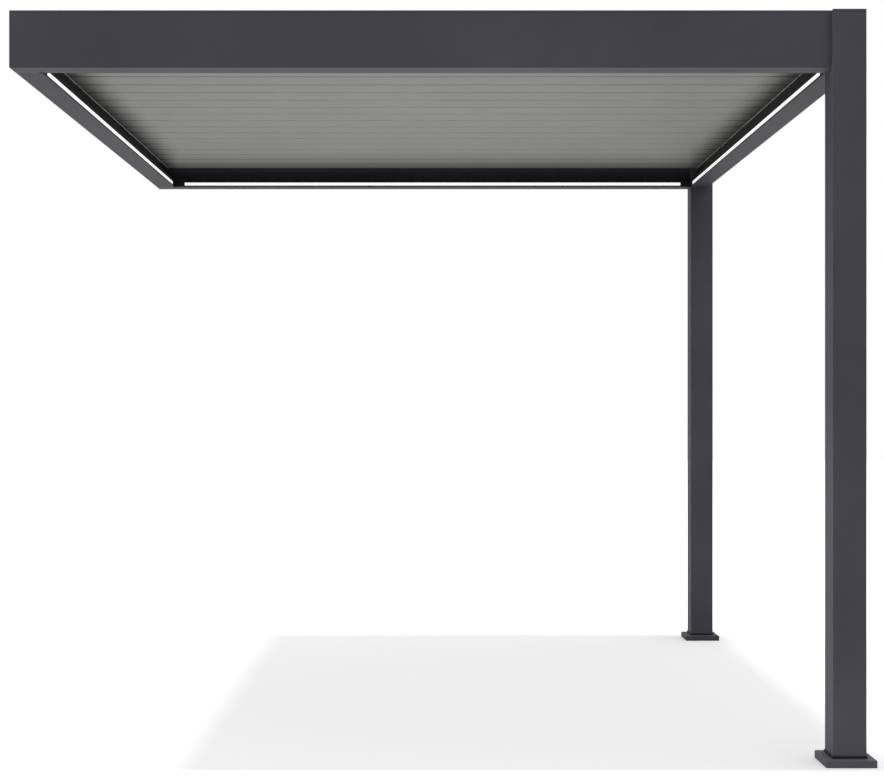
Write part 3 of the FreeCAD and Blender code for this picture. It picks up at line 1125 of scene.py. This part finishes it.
@dataclass
class Corners:
    """The black covers between the light strips' ends, and the seals below the two mitred corners."""

    shop: Workshop
    proud: float = 0.5 * MM
    sunk: float = 1.0 * MM
    lip: float = 1.0 * MM
    clear: float = 2.0 * MM
    cross_feed: float = 19.0 * MM
    long_feed: float = 6.0 * MM
    seal_width: float = 16.0 * MM
    seal_depth: float = 24.0 * MM

    def build(self) -> None:
        """Cover the four inner corners and seal the mitres."""
        for end in ENDS:
            for side in PIVOT_SIDES:
                self._cover(end, side)
            self._seal(end)

    def _cover(self, end: str, side: str) -> None:
        """Cover one corner on both its faces.

        Args:
            end: Front or back.
            side: Wall or side.
        """
        cross, long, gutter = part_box(side + "_light"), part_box(end + "_light"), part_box(side + "_gutter")
        to_room, inward = INWARD[end].sign, INWARD[side].sign
        x, y = face_of(cross, 0, inward), face_of(long, 1, to_room)
        feed = self.cross_feed if end == "front" else 0.0
        y_end = face_of(cross, 1, -to_room) + to_room * feed
        x_end = face_of(long, 0, -inward) + inward * self.long_feed
        spans = (
            ((x - inward * self.sunk, x + inward * self.proud), (y, y_end)),
            ((x, x_end), (y - to_room * self.sunk, y + to_room * self.proud)),
        )
        bottom, top = gutter[0].z + self.lip, gutter[1].z - self.clear
        corners = [((min(a), min(b), bottom), (max(a), max(b), top)) for a, b in spans]
        give(blocks("%s_%s_corner_cover" % (end, side), corners, self.shop.finishes.rubber))

    def _seal(self, end: str) -> None:
        """Seal a mitred corner below the long gutter.

        Args:
            end: Front or back.
        """
        gutter, to_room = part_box(end + "_gutter"), INWARD[end].sign
        x, y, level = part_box("wall_gutter")[1].x, face_of(gutter, 1, to_room), gutter[0].z
        near, far = sorted((y, y - to_room * self.seal_depth))
        half = self.seal_width / 2
        block = ((x - half, near, level - self.proud), (x + half, far, level + self.sunk))
        give(blocks(end + "_corner_seal", [block], self.shop.finishes.rubber))


@dataclass
class Louvers:
    """The louvers with their end-cap screws, pivot bushes, crank clips and link bar."""

    shop: Workshop
    edge: float = 0.4 * MM
    bar_edge: float = 0.3 * MM
    bush_inner: float = 6.1 * MM
    bush_outer: float = 10.5 * MM
    bush_thick: float = 2.0 * MM
    bush_edge: float = 0.5 * MM
    clip_inner: float = 4.05 * MM
    clip_outer: float = 6.6 * MM
    clip_thick: float = 0.8 * MM
    clip_edge: float = 0.2 * MM
    clip_gap: float = 0.8 * MM
    end_cap_thick: float = 3.0 * MM
    end_cap_slack: float = 0.1 * MM
    screw_reach: float = 52.0 * MM
    screw_drop: float = 14.0 * MM

    def build(self) -> None:
        """Dress the louvers and their bar."""
        finishes, rows, ring = self.shop.finishes, self.shop.rows, self.shop.fasteners.ring
        names = louver_names()
        pins = {joint["child"]: joint["pos_m"] for joint in frame["joints"]}
        crank = pins["link_bar"][1] - pins[names[0]][1]
        clip = ring("clip_model", self.clip_inner, self.clip_outer, self.clip_thick, self.clip_edge)
        clip_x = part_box("link_bar")[0].x - self.clip_gap
        for name in names:
            louver = RoundedNode(name, name, Slot.LOUVER, self.edge).build(finishes)
            self._paint_ends(louver.data)
            self._cap_screws(name, pins[name])
            place = (clip_x, pins[name][1] + crank, pins["link_bar"][2])
            rows.lay(name + "_clip", clip, finishes.steel, [place], turn=Facing.WALL.turn, body=name)
        self._bushes([pins[name] for name in names])
        RoundedNode("link_bar", "link_bar", Slot.ALUMINIUM, self.bar_edge).build(finishes)

    def _paint_ends(self, mesh: Mesh) -> None:
        """Give a louver's end caps their own finish.

        Args:
            mesh: The louver's mesh.
        """
        start, end = louver_ends()
        reach = self.end_cap_thick + self.end_cap_slack
        mesh.materials.append(self.shop.finishes.end_cap)
        for face in mesh.polygons:
            along = [mesh.vertices[index].co.x for index in face.vertices]
            if max(along) < start + reach or min(along) > end - reach:
                face.material_index = len(mesh.materials) - 1

    def _cap_screws(self, name: str, pivot: Sequence[float]) -> None:
        """Set two screws in each of a louver's end caps.

        Args:
            name: The louver.
            pivot: A point on its pivot axis.
        """
        level = pivot[2] - self.screw_drop
        sides = (pivot[1] - self.screw_reach, pivot[1] + self.screw_reach)
        for facing, face in zip((Facing.WALL, Facing.POSTS), louver_ends()):
            self.shop.rows.lay(
                "%s_%s_screws" % (name, facing.name.lower()), self.shop.screw, self.shop.finishes.steel,
                [(face, y, level) for y in sides], turn=facing.turn, twist=math.pi, body=name,
            )

    def _bushes(self, pivots: Sequence[Sequence[float]]) -> None:
        """Set a flanged bush round each pivot pin, on the beams' inner faces.

        Args:
            pivots: A point on each louver's pivot axis.
        """
        sizes = (self.bush_inner, self.bush_outer, self.bush_thick, self.bush_edge)
        bush = self.shop.fasteners.ring("bush_model", *sizes)
        for side in PIVOT_SIDES:
            face = face_of(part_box(side + "_beam"), 0, INWARD[side].sign)
            places = [(face, y, z) for _, y, z in pivots]
            turn = INWARD[side].turn
            self.shop.rows.lay(side + "_bushes", bush, self.shop.finishes.nylon, places, turn=turn)


@dataclass
class Studio:
    """The floor, the lamps, the background and the camera."""

    floor_reach: float = 30.0
    image_width: float = 884.0
    image_height: float = 778.0
    focal_pixels: float = 1605.4
    vanishing_x: float = 430.5
    vanishing_y: float = 408.35
    sensor: float = 36.0
    sight: float = 200.0
    camera_place: Point = (1.396, -6.796, -1.224)
    sky: float = 1.18
    floor_bounce: float = 0.06
    floor_shade: float = 0.62
    # The seen glow: its outer level, and a higher level under the roof's middle that is painted light.
    floor_glow_with_painted_fill: Pair = (0.291, 0.352)
    painted_fill_centre: Pair = (1.35, 0.20)
    painted_fill_reach: Pair = (1.9, 1.9)
    table_glow: Pair = (0.0, 3.1)
    table_centre: Pair = (1.35, -0.72)
    table_reach: Pair = (2.15, 1.75)
    key_strength: float = 1.1
    key_height: float = 32.0
    key_leans: Pair = (0.280, 0.001)
    key_spread: Pair = (0.075, 0.04)

    def build(self) -> None:
        """Set the stage."""
        self._floor()
        self._world()
        for lean in self.key_leans:
            self._key_lamp(lean)
        self._camera()
        bpy.context.scene.view_settings.view_transform = "Standard"

    def _floor(self) -> None:
        """Lay a pale floor that shows white where nothing shades it, and that glows a little more under the
        middle of the roof, painted light that lifts the middle of its shadow.
        """
        ground, reach = CAD_BOX[0].z, self.floor_reach
        mesh = bpy.data.meshes.new("floor")
        corners = ((-reach, -reach), (reach, -reach), (reach, reach), (-reach, reach))
        mesh.from_pydata([(x, y, ground) for x, y in corners], [], [(0, 1, 2, 3)])
        material, nodes = empty_material("pale_floor")
        # Seen by the camera: an even glow, with painted light added under the middle of the roof.
        glow = self._glow(nodes, self.painted_fill_centre, self.painted_fill_reach, self.floor_glow_with_painted_fill)
        table = self._glow(nodes, self.table_centre, self.table_reach, self.table_glow)
        seen = self._pale(nodes, self.floor_shade, glow)
        lit = self._pale(nodes, self.floor_bounce, table)
        nodes.add("ShaderNodeOutputMaterial", {"Surface": self._by_ray(nodes, lit, seen)})
        mesh.materials.append(material)
        placed("floor", mesh)

    def _pale(self, nodes: Nodes, grey: float, glow: Socket) -> Socket:
        """A dull grey with a glow added to it."""
        dull = nodes.add("ShaderNodeBsdfDiffuse", {"Color": (grey, grey, grey, 1.0)})
        return nodes.add("ShaderNodeAddShader", {0: dull.outputs["BSDF"], 1: glow}).outputs["Shader"]

    def _glow(self, nodes: Nodes, centre: Pair, reach: Pair, levels: Pair) -> Socket:
        """A glow of the floor under the roof, which changes evenly from its middle outwards.

        Args:
            nodes: The floor's nodes.
            centre: X and Y of its middle.
            reach: How far it goes along X and Y.
            levels: Its strength from there on, and in the middle.

        Returns:
            The glow's shader.
        """
        inputs = {
            "Vector": nodes.place(),
            "Location": (*centre, CAD_BOX[0].z),
            "Scale": (*reach, 1.0),
        }
        mapping = nodes.add("ShaderNodeMapping", inputs, vector_type="TEXTURE")
        cone = nodes.add(
            "ShaderNodeTexGradient", {"Vector": mapping.outputs["Vector"]}, gradient_type="SPHERICAL"
        )
        strength = nodes.ramp(cone.outputs["Fac"], 0.0, 1.0, *levels)
        return nodes.add("ShaderNodeEmission", {"Strength": strength}).outputs["Emission"]

    def _by_ray(self, nodes: Nodes, other: Socket, seen: Socket) -> Socket:
        """Show one shader to rays from the camera, a reflection or through glass, and another to the rest.

        Args:
            nodes: The tree to add to.
            other: The shader that lights the object.
            seen: The shader that is seen.

        Returns:
            The chosen shader.
        """
        path = nodes.add("ShaderNodeLightPath").outputs
        direct = nodes.math("MAXIMUM", path["Is Camera Ray"], path["Is Glossy Ray"])
        direct = nodes.math("MAXIMUM", direct, path["Is Transmission Ray"])
        return nodes.add("ShaderNodeMixShader", {"Fac": direct, 1: other, 2: seen}).outputs["Shader"]

    def _world(self) -> None:
        """Light the object evenly from a white surround."""
        world = bpy.data.worlds.new("surround")
        bpy.context.scene.world = world
        world.use_nodes = True
        world.node_tree.nodes.clear()
        nodes = Nodes(world.node_tree)
        white = (1.0, 1.0, 1.0, 1.0)
        soft, plain = [
            nodes.add("ShaderNodeBackground", {"Color": white, "Strength": strength}).outputs["Background"]
            for strength in (self.sky, 1.0)
        ]
        nodes.add("ShaderNodeOutputWorld", {"Surface": self._by_ray(nodes, soft, plain)})

    def _key_lamp(self, lean: float) -> None:
        """Hang one of the far lamps above the roof, a little towards the wall's side.

        Args:
            lean: How far it hangs to that side, as a share of its height.
        """
        low, high = CAD_BOX
        middle = Vector(((low.x + high.x) / 2, (low.y + high.y) / 2, high.z))
        data = bpy.data.lights.new("key", "AREA")
        data.shape = "RECTANGLE"
        data.size, data.size_y = [share * self.key_height for share in self.key_spread]
        data.energy = self.key_strength / len(self.key_leans) * (math.pi * self.key_height) ** 2
        lamp = placed("key", data)
        lamp.location = middle + Vector((-lean, 0.0, 1.0)) * self.key_height
        lamp.rotation_euler = (0.0, -math.atan(lean), 0.0)

    def _camera(self) -> None:
        """Set the camera at the photograph's view."""
        data = bpy.data.cameras.new("view")
        data.sensor_width = self.sensor
        data.lens = self.focal_pixels / self.image_width * self.sensor
        data.shift_x = (self.image_width / 2 - self.vanishing_x) / self.image_width
        data.shift_y = (self.vanishing_y - self.image_height / 2) / self.image_width
        data.clip_end = self.sight
        camera = placed("view", data)
        camera.location = self.camera_place
        camera.rotation_euler = (math.pi / 2, 0.0, 0.0)
        bpy.context.scene.camera = camera


def main() -> None:
    """Build the stage and dress every sub-assembly of the pergola."""
    logging.basicConfig(level=logging.INFO)
    Studio().build()
    shop = Workshop()
    for assembly in (Posts, Roof, Corners, Louvers):
        assembly(shop).build()
    shop.fasteners.clear()


if __name__ == "__main__":
    main()
